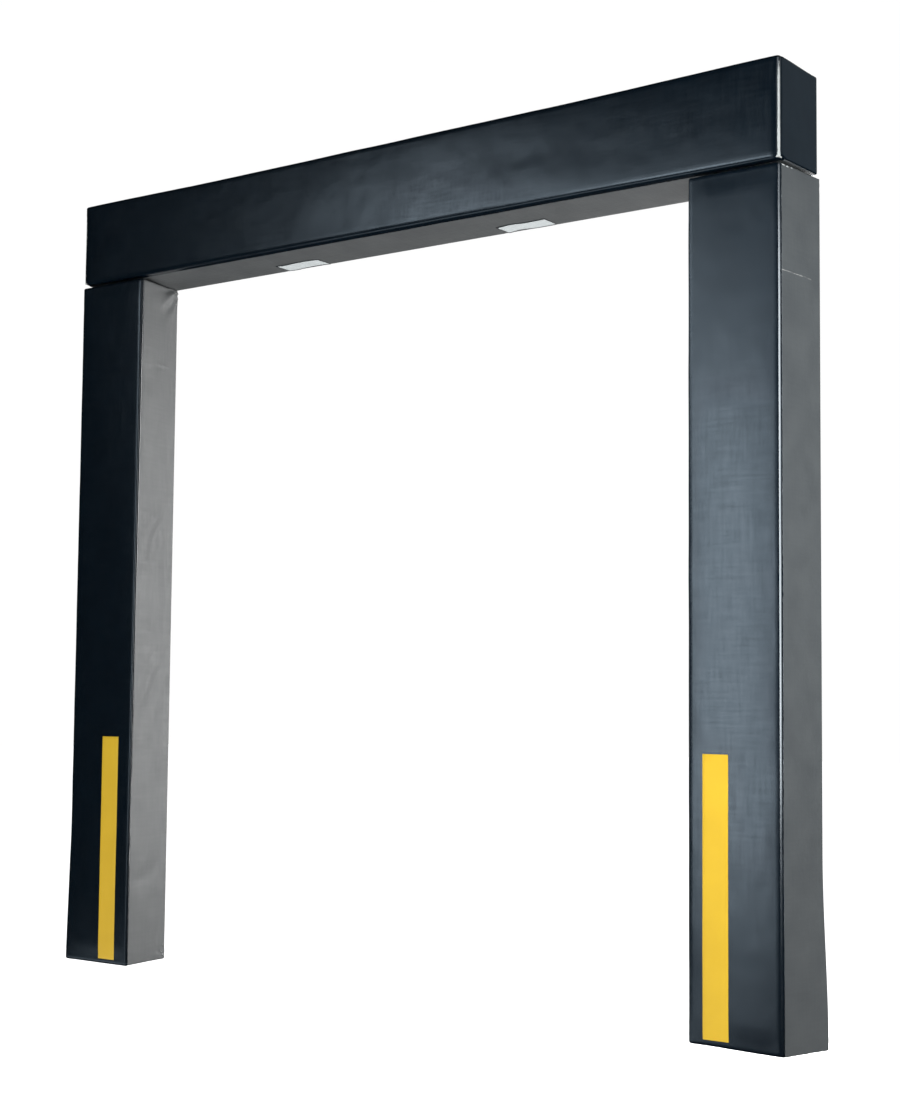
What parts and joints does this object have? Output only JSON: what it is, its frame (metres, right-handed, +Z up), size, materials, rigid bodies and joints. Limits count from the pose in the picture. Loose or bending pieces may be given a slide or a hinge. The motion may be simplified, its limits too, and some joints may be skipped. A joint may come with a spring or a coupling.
{
  "type": "loading dock compression seal",
  "caption": "Foam dock seal: fabric-covered side pads and a head pad on timber frames stand round a loading opening, and each face gives way as a truck presses on it.",
  "frame": {"origin": "on the wall plane, midway between the side pads and level with their lower ends", "axes": "+X to the right for someone facing the wall, +Y into the wall, +Z up"},
  "size_m": [3.048, 0.2426, 2.9087],
  "materials": {
    "wear_fabric": "satin",
    "side_fabric": "matte",
    "timber": "matte",
    "foam": "matte",
    "stripe": "satin",
    "vent": "matte"
  },
  "bodies": {
    "root": {"left_outer_stile": "timber", "left_inner_stile": "timber", "left_rung_1": "timber", "left_rung_2": "timber", "left_rung_3": "timber", "left_rung_4": "timber", "left_rung_5": "timber", "left_outer_cover": "side_fabric", "left_inner_cover": "side_fabric", "left_top_cap": "side_fabric", "left_bottom_cap": "side_fabric", "left_back_foam": "foam", "right_outer_stile": "timber", "right_inner_stile": "timber", "right_rung_1": "timber", "right_rung_2": "timber", "right_rung_3": "timber", "right_rung_4": "timber", "right_rung_5": "timber", "right_outer_cover": "side_fabric", "right_inner_cover": "side_fabric", "right_top_cap": "side_fabric", "right_bottom_cap": "side_fabric", "right_back_foam": "foam", "head_top_rail": "timber", "head_bottom_rail": "timber", "head_stud_1": "timber", "head_stud_2": "timber", "head_stud_3": "timber", "head_stud_4": "timber", "head_stud_5": "timber", "head_stud_6": "timber", "head_top_cover": "side_fabric", "head_underside_cover": "side_fabric", "head_left_end": "wear_fabric", "head_right_end": "wear_fabric", "head_back_foam": "foam", "head_left_vent": "vent", "head_right_vent": "vent"},
    "left_face": {"left_wear_face": "wear_fabric", "left_front_foam": "foam", "left_guide_stripe": "stripe"},
    "right_face": {"right_wear_face": "wear_fabric", "right_front_foam": "foam", "right_guide_stripe": "stripe"},
    "head_face": {"head_wear_face": "wear_fabric", "head_front_foam": "foam"}
  },
  "joints": [
    {"name": "left_squeeze", "type": "slide", "parent": "root", "child": "left_face", "axis": [0, 1, 0], "range_m": [0, 0.1], "stiffness_N_per_m": 50000, "deforming": ["left_back_foam", "left_outer_cover", "left_inner_cover", "left_top_cap", "left_bottom_cap"]},
    {"name": "right_squeeze", "type": "slide", "parent": "root", "child": "right_face", "axis": [0, 1, 0], "range_m": [0, 0.1], "stiffness_N_per_m": 50000, "deforming": ["right_back_foam", "right_outer_cover", "right_inner_cover", "right_top_cap", "right_bottom_cap"]},
    {"name": "head_squeeze", "type": "slide", "parent": "root", "child": "head_face", "axis": [0, 1, 0], "range_m": [0, 0.1], "stiffness_N_per_m": 59000, "deforming": ["head_back_foam", "head_top_cover", "head_underside_cover", "head_left_end", "head_right_end", "head_left_vent", "head_right_vent"]}
  ]
}
